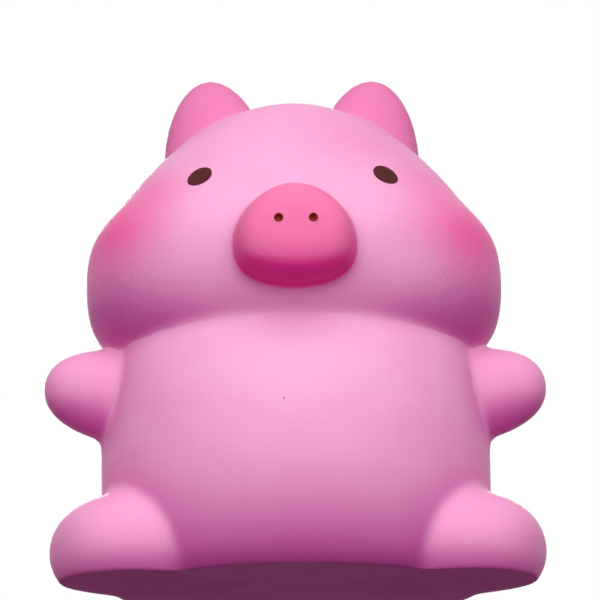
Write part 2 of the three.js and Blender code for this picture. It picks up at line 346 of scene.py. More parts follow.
def lathe(profile, sides=112):
    """A closed form turned about Z from a profile that starts and ends on the axis."""
    angles = np.arange(sides) * 2 * math.pi / sides
    places = [(0.0, 0.0, profile[0][1])]
    for radius, height in profile[1:-1]:
        for angle in angles:
            places.append((radius * math.cos(angle), radius * math.sin(angle), height))
    places.append((0.0, 0.0, profile[-1][1]))
    rings = len(profile) - 2
    last = len(places) - 1
    faces = []
    for i in range(sides):
        j = (i + 1) % sides
        faces.append((0, 1 + j, 1 + i))
        for ring in range(rings - 1):
            low = 1 + ring * sides
            faces.append((low + i, low + j, low + sides + j, low + sides + i))
        top = 1 + (rings - 1) * sides
        faces.append((top + i, top + j, last))
    return np.array(places), faces


def turned(places, angle, axis):
    """The places turned about one axis of the frame."""
    return places @ np.array(Matrix.Rotation(angle, 3, axis)).T


def narrow(places, start, end, amount):
    """Takes a share of the depth away, more and more from one height to another."""
    way = np.maximum((places[:, 2] - start) / (end - start), 0)
    places[:, 1] *= 1 - amount * way**2


def torso_lobe():
    """The belly on its sole, with the shoulders that the head hides."""
    size = settings("torso")
    sole = size.sole_width / 2
    belly = size.belly_width / 2
    crown = size.belly_height + size.shoulder_rise
    rise, run = math.sin(size.sole_slope), math.cos(size.sole_slope)
    cut = size.sole_cut
    profile = [(0.0, -cut), (sole - cut * run / rise, -cut), (sole, 0.0)]
    profile += bezier(
        (sole, 0.0),
        (sole + size.sole_edge_pull * run, size.sole_edge_pull * rise),
        (belly, size.belly_height - size.flank_pull),
        (belly, size.belly_height),
    )
    profile += bezier(
        (belly, size.belly_height),
        (belly, size.belly_height + size.shoulder_pull),
        (size.crown_pull, crown),
        (0.0, crown),
    )
    places, faces = lathe(profile)
    places[:, 1] *= size.belly_depth / size.belly_width
    narrow(places, size.deepest_height, 0.0, size.sole_rounding)
    narrow(places, size.deepest_height, settings("head").seat_height, size.neck_rounding)
    return places, faces


def head_lobe():
    """Chin, jowls, cheeks, hollow temples and crown, in one profile."""
    size = settings("head")
    cheek = size.cheek_width / 2
    temple = size.temple_width / 2
    cheek_height = size.seat_height + size.jowl_rise
    temple_height = cheek_height + size.temple_rise
    out = Vector((math.cos(size.temple_slope), -math.sin(size.temple_slope)))
    below = Vector((temple, temple_height)) + out * size.temple_lower_pull
    above = Vector((temple, temple_height)) - out * size.temple_upper_pull
    profile = [(0.0, size.seat_height)]
    profile += bezier(
        (0.0, size.seat_height),
        (size.chin_pull, size.seat_height),
        (cheek, cheek_height - size.jowl_pull),
        (cheek, cheek_height),
    )
    profile += bezier(
        (cheek, cheek_height),
        (cheek, cheek_height + size.cheek_pull),
        tuple(below),
        (temple, temple_height),
    )
    profile += bezier(
        (temple, temple_height),
        tuple(above),
        (size.crown_pull, size.crown_height),
        (0.0, size.crown_height),
    )
    places, faces = lathe(profile)
    places[:, 1] *= size.depth / size.cheek_width
    narrow(places, size.seat_height + size.chin_slope_rise, size.seat_height, size.chin_rounding)
    return places - (0, size.forward, 0), faces


def limb_lobe(width, depth, reach, side_pull, tip_pull):
    """A rounded lobe that stands on Z from its flat root."""
    profile = [(0.0, 0.0), (width / 2, 0.0)]
    profile += bezier(
        (width / 2, 0.0),
        (width / 2, side_pull),
        (tip_pull, reach),
        (0.0, reach),
    )
    places, faces = lathe(profile, sides=72)
    return places * (1, depth / width, 1), faces


def arm_lobe(side):
    """A stub arm, turned a little forwards and up."""
    size = settings("limbs")
    root = settings("torso").belly_width / 2 - size.arm_inset
    places, faces = limb_lobe(
        size.arm_width, size.arm_width, size.arm_length, size.arm_side_pull, size.arm_tip_pull
    )
    places = turned(places, side * (math.pi / 2 - size.arm_lift), "Y")
    places = turned(places, -side * size.arm_swing, "Z")
    height = settings("head").seat_height - size.arm_drop
    return places + (side * root, -size.arm_forward, height), faces


def leg_lobe(side):
    """A stub leg that points forwards and outwards, cut off under the sole."""
    size = settings("limbs")
    places, faces = limb_lobe(
        size.leg_width, size.leg_depth, size.leg_length, size.leg_side_pull, size.leg_tip_pull
    )
    places = turned(places, side * (math.pi / 2 - size.leg_lift), "Y")
    places = turned(places, -side * size.leg_swing, "Z")
    places = places + (side * size.hip_spacing / 2, -size.hip_forward, size.hip_height)
    places[:, 2] = np.maximum(places[:, 2], -settings("torso").sole_cut)
    return places, faces


def ear_lobe(side):
    """A blunt ear on the head, leaning outwards."""
    size = settings("limbs")
    places, faces = limb_lobe(
        size.ear_width, size.ear_depth, size.ear_length, size.ear_side_pull, size.ear_tip_pull
    )
    places = turned(places, side * size.ear_tilt, "Y")
    height = settings("head").crown_height - size.ear_drop
    return places + (side * size.ear_spacing / 2, size.ear_back, height), faces


def tail_lobe():
    """A short tail on the back, curled upwards."""
    size = settings("limbs")
    places, faces = limb_lobe(
        size.tail_width, size.tail_width, size.tail_length, size.tail_side_pull, size.tail_tip_pull
    )
    run = places[:, 2] / size.tail_length
    places[:, 1] -= size.tail_curl * run**2
    places = turned(places, -(math.pi / 2 - size.tail_lift), "X")
    back = settings("torso").belly_depth / 2 - size.tail_inset
    return places + (0, back, size.tail_height), faces


def snout_lobe():
    """The muzzle, narrower above and fuller in its lower corners."""
    size = settings("face")
    radius = size.snout_width / 2
    profile = [(0.0, 0.0), (radius, 0.0), (radius, size.snout_barrel)]
    profile += bezier(
        (radius, size.snout_barrel),
        (radius, size.snout_barrel + size.snout_edge_pull),
        (size.snout_face_pull, size.snout_length),
        (0.0, size.snout_length),
    )
    places, faces = lathe(profile, sides=96)
    places = turned(places, math.pi / 2, "X") * (1, 1, size.snout_tallness / size.snout_width)
    rise = places[:, 2] / (size.snout_tallness / 2)
    places[:, 0] *= 1 - size.snout_taper * rise + size.snout_fullness * np.minimum(rise, 0) ** 2
    root = size.snout_length - settings("head").depth / 2 - settings("head").forward - size.snout_reach
    return places + (-size.shift, root, size.snout_height), faces


def lobes():
    """Every lobe of the moulding by the name of the CAD node it stands for."""
    return {
        "torso": torso_lobe(),
        "head": head_lobe(),
        "arm_left": arm_lobe(-1),
        "arm_right": arm_lobe(1),
        "leg_left": leg_lobe(-1),
        "leg_right": leg_lobe(1),
        "ear_left": ear_lobe(-1),
        "ear_right": ear_lobe(1),
        "snout": snout_lobe(),
        "tail": tail_lobe(),
    }


def fused(forms):
    """One closed skin round all the lobes, as places and four-sided faces."""
    places, faces = [], []
    for form_places, form_faces in forms.values():
        first = len(places)
        places.extend(form_places.tolist())
        faces.extend([tuple(first + i for i in face) for face in form_faces])
    mesh = bpy.data.meshes.new("moulding")
    mesh.from_pydata(places, [], faces)
    form = bpy.data.objects.new("moulding", mesh)
    bpy.context.scene.collection.objects.link(form)
    melt = form.modifiers.new("melt", "REMESH")
    melt.mode = "VOXEL"
    melt.voxel_size = settings("foam").grain
    skin = form.evaluated_get(bpy.context.evaluated_depsgraph_get()).to_mesh()
    found = np.empty(len(skin.vertices) * 3)
    skin.vertices.foreach_get("co", found)
    corners = np.empty(len(skin.loops), int)
    skin.loops.foreach_get("vertex_index", corners)
    if len(corners) != 4 * len(skin.polygons):
        raise RuntimeError("the moulding's skin isn't all four-sided faces")
    bpy.data.objects.remove(form)
    bpy.data.meshes.remove(mesh)
    return found.reshape(-1, 3), corners.reshape(-1, 4)


def edges_of(quads):
    """Each edge of the faces once, as pairs of places."""
    pairs = np.concatenate([quads[:, [i, (i + 1) % 4]] for i in range(4)])
    return np.unique(np.sort(pairs, axis=1), axis=0)


def softened(places, pairs, turns, amount=SOFTENING):
    """The places drawn towards the middle of their neighbours, round by round."""
    count = np.bincount(pairs.ravel(), minlength=len(places)).astype(float)
    joined = count > 0
    for _ in range(turns):
        total = np.zeros_like(places)
        for axis in range(3):
            total[:, axis] += np.bincount(pairs[:, 0], places[pairs[:, 1], axis], len(places))
            total[:, axis] += np.bincount(pairs[:, 1], places[pairs[:, 0], axis], len(places))
        middle = places.copy()
        middle[joined] = total[joined] / count[joined, None]
        places = places + amount * (middle - places)
    return places


def outward(places, quads):
    """The smooth normal of every place on the faces, and straight down elsewhere."""
    across = places[quads[:, 2]] - places[quads[:, 0]]
    up = places[quads[:, 3]] - places[quads[:, 1]]
    faces = np.cross(across, up)
    total = np.zeros_like(places)
    for corner in range(4):
        np.add.at(total, quads[:, corner], faces)
    size = np.linalg.norm(total, axis=1, keepdims=True)
    return np.where(size > 0, total / np.where(size > 0, size, 1), (0, 0, -1))


def lobe_distances(places, forms, reach=12 * MM):
    """How far each place of the skin is from each lobe, one column for each."""
    columns = np.full((len(places), len(forms)), FAR)
    for column, (form_places, form_faces) in enumerate(forms.values()):
        tree = BVHTree.FromPolygons(form_places.tolist(), form_faces)
        low = form_places.min(0) - reach
        high = form_places.max(0) + reach
        near = np.nonzero(np.all((places > low) & (places < high), axis=1))[0]
        for i in near:
            columns[i, column] = tree.find_nearest(Vector(places[i]))[3]
    return columns


def eased(values):
    """The values held between 0 and 1, with a soft start and a soft end."""
    held = np.clip(values, 0, 1)
    return held * held * (3 - 2 * held)


def tidied(owner, quads):
    """Loose crumbs of one lobe's faces are given to the lobe around them."""
    by_edge = {}
    for face, corners in enumerate(quads.tolist()):
        for i in range(4):
            key = tuple(sorted((corners[i], corners[(i + 1) % 4])))
            by_edge.setdefault(key, []).append(face)
    beside = [[] for _ in quads]
    for pair in by_edge.values():
        if len(pair) == 2:
            beside[pair[0]].append(pair[1])
            beside[pair[1]].append(pair[0])
    for lobe in range(owner.max() + 1):
        left = set(np.nonzero(owner == lobe)[0].tolist())
        crumbs = []
        while left:
            crumb, open_faces = [], [left.pop()]
            while open_faces:
                face = open_faces.pop()
                crumb.append(face)
                for other in beside[face]:
                    if other in left:
                        left.remove(other)
                        open_faces.append(other)
            crumbs.append(crumb)
        crumbs.sort(key=len)
        for crumb in crumbs[:-1]:
            around = [owner[o] for f in crumb for o in beside[f] if owner[o] != lobe]
            owner[crumb] = np.bincount(around).argmax()
    return owner


class Moulding:
    """The pig's fused foam skin, with the lobe that owns each face."""

    def __init__(self):
        foam = settings("foam")
        forms = lobes()
        self.names = list(forms)
        places, self.quads = fused(forms)
        pairs = edges_of(self.quads)
        places = softened(places, pairs, foam.skin_rounds)
        apart = lobe_distances(places, forms)
        second_nearest = np.partition(apart, 1, axis=1)[:, 1:2]
        creased = np.clip(1 - second_nearest / foam.fillet_width, 0, 1)
        places = softened(places, pairs, foam.fillet_rounds, SOFTENING * creased)
        self.owner = tidied(apart[self.quads].sum(axis=1).argmin(axis=1), self.quads)
        places = softened(places, self.borders(self.owner), foam.seam_rounds)
        places[:, 2] = np.maximum(places[:, 2], 0.0)
        sole = np.all(places[self.quads][:, :, 2] <= 0, axis=1)
        self.places = softened(places, self.borders(sole), foam.seam_rounds)
        self.normals = outward(self.places, self.quads[~sole])
        self.spray_and_shade = self.laid_spray_and_shade(apart, np.setdiff1d(self.quads[sole], self.quads[~sole]))
        self.tree = BVHTree.FromPolygons(self.places.tolist(), self.quads.tolist())
        self.finder = KDTree(len(self.places))
        for i, place in enumerate(self.places):
            self.finder.insert(place, i)
        self.finder.balance()

    def borders(self, sort):
        """The edges between faces of two sorts."""
        first = {}
        found = []
        for face, corners in enumerate(self.quads.tolist()):
            for i in range(4):
                key = tuple(sorted((corners[i], corners[(i + 1) % 4])))
                other = first.setdefault(key, face)
                if sort[other] != sort[face]:
                    found.append(key)
        return np.array(found)

    def shared(self, one, other):
        """The places on the crease between two lobes."""
        faces = [self.quads[self.owner == self.names.index(n)] for n in (one, other)]
        return np.intersect1d(*faces)

    def nearest(self, apart, *lobe_names):
        """How far each place is from the nearest of some lobes."""
        return apart[:, [self.names.index(n) for n in lobe_names]].min(axis=1)

    def laid_spray_and_shade(self, apart, masked, underside_shade_start=0.05, underside_shade_span=0.8):
        """How thick each spray and each painted shade lies at every place, with no painted shade on the
        masked sole.
        """
        foam = settings("foam")
        # Painted shade, deeper pink where the skin faces down, none on the sole.
        low = eased((-underside_shade_start - self.normals[:, 2]) / underside_shade_span)
        low[masked] = 0
        # Painted shade beside the limbs and towards the bottom, fading out at each limb's crease.
        beside = self.nearest(apart, "arm_left", "arm_right", "leg_left", "leg_right")
        clear = eased(beside / foam.crease_shade_edge)
        clear[masked] = 0
        crease_shade_falloff = np.clip(1 - beside / foam.crease_shade_reach, 0, 1)
        # Painted shade, darker towards the bottom of the torso.
        bottom_shading = np.clip(1 - self.places[:, 2] / foam.bottom_shade_height, 0, 1)
        from_head = self.nearest(apart, "head")
        from_ears = self.nearest(apart, "ear_left", "ear_right")
        from_snout = self.nearest(apart, "snout")
        return {
            EAR_SPRAY: across_crease(from_ears, from_head, foam.ear_overspray),
            SNOUT_SPRAY: across_crease(from_snout, from_head, foam.snout_overspray),
            UNDERSIDE_SHADE_NOTE: low,
            CREASE_SHADE_NOTE: clear * crease_shade_falloff**2,
            BOTTOM_SHADE_NOTE: clear * bottom_shading**2,
        }

    def piece(self, lobe, cap_rings=3, cap_sink=0.2):
        """The closed mesh of one lobe: its own skin, and caps where it joins the others."""
        quads = self.quads[self.owner == self.names.index(lobe)]
        used, local = np.unique(quads, return_inverse=True)
        faces = local.reshape(-1, 4).tolist()
        places = self.places[used].tolist()
        middle = self.places[used].mean(axis=0)
        for ring in rims(faces):
            rim = np.array([places[i] for i in ring])
            centre = rim.mean(axis=0)
            sunk = (middle - centre) * cap_sink
            last = ring
            for step in range(1, cap_rings):
                t = step / cap_rings
                first = len(places)
                places.extend((rim + (centre - rim) * t + sunk * t * (2 - t)).tolist())
                inner = list(range(first, first + len(ring)))
                faces.extend(band(last, inner))
                last = inner
            places.append((centre + sunk).tolist())
            peak = len(places) - 1
            for i in range(len(last)):
                faces.append((last[(i + 1) % len(last)], last[i], peak))
        mesh = bpy.data.meshes.new(lobe + "_skin")
        mesh.from_pydata(places, [], faces)
        return mesh

    def dress(self, mesh, same_place=2e-6, facing=0.25):
        """Smooth shading as on the whole moulding, and what the paints need to know."""
        smoothed(mesh)
        match = []
        for vertex in mesh.vertices:
            _, index, gap = self.finder.find(vertex.co)
            match.append((index, gap < same_place))
        normals = []
        for face in mesh.polygons:
            if max(mesh.vertices[i].co.z for i in face.vertices) <= 0:
                normals.extend([Vector((0, 0, -1))] * len(face.vertices))
                continue
            for i in face.vertices:
                index, same = match[i]
                normal = Vector(self.normals[index])
                outer = same and normal.dot(face.normal) > facing
                normals.append(normal if outer else Vector((0, 0, 0)))
        mesh.normals_split_custom_set(normals)
        nearest = [index for index, _ in match]
        for name, amounts in self.spray_and_shade.items():
            note(mesh, name, amounts[nearest])


def across_crease(from_sprayed, from_ground, soft):
    """From 0 on the ground lobe to 1 on the lobe with the spray, soft across their crease."""
    amount = eased((from_ground - from_sprayed) / soft * 0.5 + 0.5)
    amount[from_sprayed >= FAR] = 0
    return amount


def rims(faces):
    """The open edges of a patch of faces, as closed rings of places."""
    halves = set()
    for face in faces:
        for i in range(len(face)):
            halves.add((face[i], face[(i + 1) % len(face)]))
    onward = {}
    for a, b in sorted(halves):
        if (b, a) not in halves:
            onward.setdefault(a, []).append(b)
    rings = []
    while onward:
        start = next(iter(onward))
        ring = [start]
        while True:
            here = ring[-1]
            there = onward[here].pop()
            if not onward[here]:
                del onward[here]
            if there == start:
                break
            ring.append(there)
        rings.append(ring)
    return rings


def band(outer, inner):
    """Faces of a cap between a rim and the ring inside it."""
    count = len(outer)
    return [
        (outer[(i + 1) % count], outer[i], inner[i], inner[(i + 1) % count])
        for i in range(count)
    ]


def note(mesh, name, values):
    """Keeps a number or a place for every point of the mesh."""
    wide = values.ndim == 2
    kind = "FLOAT_VECTOR" if wide else "FLOAT"
    attribute = mesh.attributes.new(name, kind, "POINT")
    attribute.data.foreach_set("vector" if wide else "value", values.astype(np.float32).ravel())


def smoothed(mesh):
    """Smooth shading, and a note of every point's place at rest."""
    mesh.update()
    mesh.polygons.foreach_set("use_smooth", [True] * len(mesh.polygons))
    mesh.set_sharp_from_angle(angle=SMOOTH_LIMIT)
    note(mesh, PLACE, np.array([v.co for v in mesh.vertices]))


@lru_cache(maxsize=1)
def moulding():
    """The fused skin, made once for all the pieces."""
    return Moulding()


def shown(name, mesh, material):
    """A new object of the pig with one paint."""
    mesh.materials.clear()
    mesh.materials.append(material)
    piece = bpy.data.objects.new(name, mesh)
    bpy.context.scene.collection.objects.link(piece)
    return piece


def squeeze_with_head(piece):
    """Bakes the piece's place into its mesh."""
    settings("foam").squeeze_end
    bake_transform(piece)


def foam_piece(node, mesh, material):
    """One lobe of the moulding, dressed and painted, in the place of its CAD node."""
    moulding().dress(mesh)
    piece = shown(node + "_skin", mesh, material)
    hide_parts(node)
    settings("foam").fill
    return piece


def pressed_piece(node, material):
    """A lobe of the moulding with its paint, its place baked into its mesh."""
    squeeze_with_head(foam_piece(node, moulding().piece(node), material))


class Nodes:
    """A tree of nodes, each added and joined in one line."""

    def __init__(self, tree):
        self.tree = tree

    def add(self, kind, inputs=None, **options):
        """A new node with its options, and its inputs set or joined."""
        node = self.tree.nodes.new(kind)
        for key, value in options.items():
            setattr(node, key, value)
        for key, value in (inputs or {}).items():
            self.set(node.inputs[key], value)
        return node

    def set(self, socket, value):
        """Joins a socket to another one, or gives it a value."""
        if isinstance(value, bpy.types.NodeSocket):
            self.tree.links.new(value, socket)
        else:
            socket.default_value = value

    def ranged(self, value, low, high, to_low=0.0, to_high=1.0, curve="SMOOTHSTEP"):
        """A number taken from one range to another, and held within it."""
        made = self.add(
            "ShaderNodeMapRange",
            {"Value": value, "From Min": low, "From Max": high, "To Min": to_low, "To Max": to_high},
            interpolation_type=curve,
        )
        return made.outputs["Result"]

    def combine(self, operation, first, second):
        """Two numbers made into one."""
        return self.add("ShaderNodeMath", {0: first, 1: second}, operation=operation).outputs[0]

    def vector(self, operation, first, second):
        """Two places made into one."""
        made = self.add("ShaderNodeVectorMath", {0: first, 1: second}, operation=operation)
        return made.outputs["Vector"]

    def reach(self, place):
        """How far a place is from the origin."""
        return self.add("ShaderNodeVectorMath", {0: place}, operation="LENGTH").outputs["Value"]

    def mix(self, amount, first, second):
        """A colour on its way from one to another."""
        made = self.add("ShaderNodeMix", {"Factor": amount}, data_type="RGBA")
        for socket, colour in zip((made.inputs[6], made.inputs[7]), (first, second)):
            self.set(socket, colour if isinstance(colour, bpy.types.NodeSocket) else (*colour, 1.0))
        return made.outputs[2]

    def mix_shaders(self, amount, first, second):
        """A shader on its way from one to another."""
        return self.add("ShaderNodeMixShader", {0: amount, 1: first, 2: second}).outputs[0]


class Paints(Nodes):
    """The nodes of one paint."""

    def __init__(self, name):
        self.material = bpy.data.materials.new(name)
        self.material.use_nodes = True
        super().__init__(self.material.node_tree)
        self.shader = self.tree.nodes["Principled BSDF"]

    def noted(self, name):
        """A number that the mesh notes at its points."""
        return self.add("ShaderNodeAttribute", attribute_name=name).outputs["Fac"]

    def place(self):
        """Where a point of the skin is at rest, so that paint moves with it."""
        return self.add("ShaderNodeAttribute", attribute_name=PLACE).outputs["Vector"]

    def noise(self, scale, detail):
        """Cloudy numbers, with so many clouds to a metre."""
        inputs = {"Vector": self.place(), "Scale": scale, "Detail": detail, "Roughness": 0.5}
        return self.add("ShaderNodeTexNoise", inputs).outputs["Fac"]

    def patches(self, scale, detail, low, high):
        """A number that wanders between two values."""
        clouds = self.noise(scale, detail)
        return self.ranged(clouds, low=0.3, high=0.7, to_low=low, to_high=high, curve="LINEAR")

    def spot(self, centre, radii):
        """Distance from a point, 0 in its middle and 1 at the given radii."""
        offset = self.vector("SUBTRACT", self.place(), centre)
        return self.reach(self.vector("DIVIDE", offset, radii))

    def finish(self, colour, rough, shine, *reliefs):
        """Joins the colour, a roughness that varies, and fine reliefs with their heights."""
        self.set(self.shader.inputs["Base Color"], colour)
        self.set(self.shader.inputs["Roughness"], rough)
        self.shader.inputs["Specular IOR Level"].default_value = shine
        height = None
        for value, amount in reliefs:
            scaled = self.combine("MULTIPLY", value, amount)
            height = scaled if height is None else self.combine("ADD", height, scaled)
        bump = self.add("ShaderNodeBump", {"Height": height, "Strength": 1.0, "Distance": 1.0})
        self.set(self.shader.inputs["Normal"], bump.outputs["Normal"])
        return self.material


# Grains of the foam's paint and of the prints, in clouds to a metre.
CLOUD_GRAIN = 95.0
SHEEN_GRAIN = 420.0
PEEL_GRAIN = 900.0
PORE_GRAIN = 3600.0
SPECKLE_GRAIN = 1500.0
PRINT_CLOUD_GRAIN = 700.0
PRINT_SHEEN_GRAIN = 1600.0
PRINT_PEEL_GRAIN = 2200.0
# How far spray's speckle moves the edge of a spot, as a share of the spot's radii.
SPECKLE = 0.05
# Heights of the fine reliefs.
PEEL_HEIGHT = 0.022 * MM
PORE_HEIGHT = 0.006 * MM
PRINT_PEEL_HEIGHT = 0.02 * MM
# Least and most roughness, and the strength of the shine.
FOAM_ROUGHNESS = (0.42, 0.52)
PRINT_ROUGHNESS = (0.5, 0.62)
FOAM_SHINE = 0.1
PRINT_SHINE = 0.12


def pink(name):
    """One of the paints' colours."""
    return tuple(getattr(settings("paints"), name))


def airbrushed(paint_name, most, *spots):
    """Soft spots, each a middle and radii, at most so thick, and speckled at the edge as spray is; used
    for the blush and for painted shade and highlight.
    """

    def overlay(paints, colour):
        speckle = paints.patches(SPECKLE_GRAIN, detail=1.0, low=-SPECKLE, high=SPECKLE)
        for centre, radii in spots:
            reach = paints.combine("ADD", paints.spot(centre, radii), speckle)
            amount = paints.ranged(reach, low=0.0, high=1.0, to_low=most, to_high=0.0)
            colour = paints.mix(amount, colour, pink(paint_name))
        return colour

    return overlay


def spray_and_shade_overlay(spray, paint_name, most=1.0):
    """An overlay that lies as thick as the moulding notes at each point: the ears' paint, and painted
    shade.
    """

    def overlay(paints, colour):
        amount = paints.noted(spray)
        if most < 1:
            amount = paints.combine("MULTIPLY", amount, most)
        return paints.mix(amount, colour, pink(paint_name))

    return overlay


# The belly's lightest pink, a painted highlight, and the chin painted back to the skin's pink, a
# painted lighter patch over the painted shade on undersides.
BELLY_HIGHLIGHT = airbrushed("belly", 1.0, ((-0.001, -0.036, 0.040), (0.034, 0.022, 0.017)))
CHIN_PAINTED_LIGHT = airbrushed("skin", 0.9, ((0.0, -0.030, 0.050), (0.030, 0.022, 0.015)))
# Painted shade on the top of the head, and on one brow in the ears' pink.
CROWN_SHADE = airbrushed("crown", 1.0, ((0.008, 0.0, 0.112), (0.075, 0.070, 0.052)))
BROW_SHADE = airbrushed("ear", 0.35, ((0.015, -0.020, 0.090), (0.022, 0.026, 0.015)))
# The blush, which fades up the temples, and painted shade low on the cheeks.
CHEEKS = airbrushed(
    "blush",
    0.85,
    ((-0.0365, -0.0155, 0.0716), (0.0225, 0.028, 0.0155)),
    ((0.0345, -0.0165, 0.0700), (0.0225, 0.028, 0.0150)),
)
TEMPLES = airbrushed(
    "blush",
    0.3,
    ((-0.029, -0.019, 0.080), (0.013, 0.020, 0.009)),
    ((0.027, -0.019, 0.080), (0.013, 0.020, 0.009)),
)
JOWL_SHADE = airbrushed(
    "jowl_shading",
    0.95,
    ((-0.039, -0.012, 0.0535), (0.027, 0.036, 0.015)),
    ((0.039, -0.012, 0.0535), (0.027, 0.036, 0.015)),
)
# Painted shade on the snout's underside and its sides, in its deepest pink.
SNOUT_UNDERSIDE_SHADE = airbrushed("snout_shading", 0.7, ((-0.0007, -0.038, 0.0532), (0.019, 0.018, 0.013)))
SNOUT_SIDE_SHADE = airbrushed(
    "snout_shading",
    0.8,
    ((-0.0140, -0.035, 0.057), (0.0065, 0.018, 0.013)),
    ((0.0126, -0.035, 0.057), (0.0070, 0.018, 0.013)),
)
# Painted shade on what faces down, on the torso towards the bottom and beside the limbs, and the ears'
# own pink.
UNDERSIDE_SHADE = spray_and_shade_overlay(UNDERSIDE_SHADE_NOTE, "shade")
BOTTOM_SHADE = spray_and_shade_overlay(BOTTOM_SHADE_NOTE, "bottom_shading")
CREASE_SHADE = spray_and_shade_overlay(CREASE_SHADE_NOTE, "shade", most=0.7)
EARS = spray_and_shade_overlay(EAR_SPRAY, "ear")
# Middle and radii of the pinhole in the belly.
PINHOLE = ((-0.0033, -0.0365, 0.0322), (0.00035, 0.002, 0.00035))


def snout(paints, colour):
    """The snout's pink with painted shade below and at its sides, with overspray across its crease."""
    snout_pink = SNOUT_SIDE_SHADE(paints, SNOUT_UNDERSIDE_SHADE(paints, pink("snout")))
    # Painted shade where the snout faces down.
    below = paints.ranged(paints.noted(UNDERSIDE_SHADE_NOTE), low=0.15, high=1.0, to_high=0.8)
    snout_pink = paints.mix(below, snout_pink, pink("snout_shading"))
    return paints.mix(paints.noted(SNOUT_SPRAY), colour, snout_pink)


def pinhole(paints, colour):
    """The pinhole that a bubble left in the belly."""
    amount = paints.ranged(paints.spot(*PINHOLE), low=0.4, high=1.0, to_low=0.75, to_high=0.0)
    return paints.mix(amount, colour, pink("nostril"))


def foam_paint(name, ground, *overlays):
    """Sprayed satin paint on foam skin: soft clouds of colour, fine peel and pores."""
    paints = Paints(name)
    clouds = paints.noise(CLOUD_GRAIN, detail=3.0)
    deeper = paints.ranged(clouds, low=0.34, high=0.68, to_high=0.55)
    colour = paints.mix(deeper, pink(ground), pink("skin_deep"))
    for overlay in overlays:
        colour = overlay(paints, colour)
    peel = paints.noise(PEEL_GRAIN, detail=2.0)
    pores = paints.noise(PORE_GRAIN, detail=1.0)
    smoothest, roughest = FOAM_ROUGHNESS
    rough = paints.patches(SHEEN_GRAIN, detail=3.0, low=smoothest, high=roughest)
    return paints.finish(colour, rough, FOAM_SHINE, (peel, PEEL_HEIGHT), (pores, PORE_HEIGHT))


@lru_cache(maxsize=1)
def body_paint():
    """Soft pink of the torso, with a painted highlight on the belly and painted shade beside the limbs,
    on what faces down and towards the bottom.
    """
    return foam_paint("body_pink", "skin", BELLY_HIGHLIGHT, CREASE_SHADE, UNDERSIDE_SHADE, BOTTOM_SHADE, pinhole)


@lru_cache(maxsize=1)
def limb_paint():
    """The limbs' and the tail's pink, a little deeper, with painted shade on what faces down."""
    return foam_paint("limb_pink", "crown", UNDERSIDE_SHADE)


@lru_cache(maxsize=1)
def head_paint():
    """Soft pink with blushed cheeks, painted shade on the crown, one brow, undersides and low cheeks, a
    painted lighter chin, blended into the ears' and the snout's pink.
    """
    face = (CROWN_SHADE, BROW_SHADE, UNDERSIDE_SHADE, CHIN_PAINTED_LIGHT, JOWL_SHADE, TEMPLES, CHEEKS)
    return foam_paint("head_pink", "skin", *face, EARS, snout)


class PIG_OT_torso(bpy.types.Operator):
    """Builds the pear-shaped torso on its flat sole"""

    bl_idname = "squishy_pig.torso"
    bl_label = "Torso"

    def execute(self, context):
        pressed_piece("torso", body_paint())
        return {"FINISHED"}


class PIG_OT_arms(bpy.types.Operator):
    """Builds both stub arms"""

    bl_idname = "squishy_pig.arms"
    bl_label = "Arms"

    def execute(self, context):
        for node in ("arm_left", "arm_right"):
            pressed_piece(node, limb_paint())
        return {"FINISHED"}


class PIG_OT_legs(bpy.types.Operator):
    """Builds both stub legs, flat where they stand"""

    bl_idname = "squishy_pig.legs"
    bl_label = "Legs"

    def execute(self, context):
        for node in ("leg_left", "leg_right"):
            pressed_piece(node, limb_paint())
        return {"FINISHED"}


class PIG_OT_tail(bpy.types.Operator):
    """Builds the small tail on the back"""

    bl_idname = "squishy_pig.tail"
    bl_label = "Tail"

    def execute(self, context):
        pressed_piece("tail", limb_paint())
        return {"FINISHED"}


class PIG_OT_head(bpy.types.Operator):
    """Builds the wide head with its blushed cheeks"""

    bl_idname = "squishy_pig.head"
    bl_label = "Head"

    def execute(self, context):
        pressed_piece("head", head_paint())
        return {"FINISHED"}


def ear_bend(node, side):
    """Where an ear starts to bend, just clear of its crease, and where it has bent."""
    skin = moulding()
    way = np.array((side * math.sin(EAR_LEAN), 0.0, math.cos(EAR_LEAN)))
    crease = skin.places[skin.shared(node, "head")]
    start = crease.mean(axis=0)
    start = start + way * ((crease - start) @ way).max()
    return Vector(start), Vector(start + way * settings("limbs").ear_bend)


class PIG_OT_ears(bpy.types.Operator):
    """Builds both ears"""

    bl_idname = "squishy_pig.ears"
    bl_label = "Ears"

    def execute(self, context):
        for node, side in (("ear_left", -1), ("ear_right", 1)):
            piece = foam_piece(node, moulding().piece(node), head_paint())
            start, end = ear_bend(node, side)
            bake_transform(piece)
            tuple(start)
            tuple(end)
        return {"FINISHED"}


def skin_in_front(across, height):
    """The place on the skin straight behind a point in front of the pig, and its normal."""
    place, normal, _, _ = moulding().tree.ray_cast(Vector((across, IN_FRONT, height)), BACKWARDS)
    if place is None:
        raise RuntimeError("a part of the face misses the skin")
    return place, normal


def nostril_places():
    """Each nostril's node, and the middle of its mouth on the snout's front."""
    size = settings("face")
    height = size.snout_height + size.nostril_rise
    for node, side in (("nostril_left", -1), ("nostril_right", 1)):
        yield node, skin_in_front(side * size.nostril_spacing / 2 - size.shift, height)[0]


def dimple_profile(radius, depth, proud=0.0, wall=0.45, turn_in=0.85, floor=0.6):
    """Half section of a nostril's blind hole, from its mouth to the middle of its floor."""
    half = [(radius, -proud), (radius, depth * wall)]
    half += bezier(half[-1], (radius, depth * turn_in), (radius * floor, depth), (0.0, depth), steps=8)
    return half


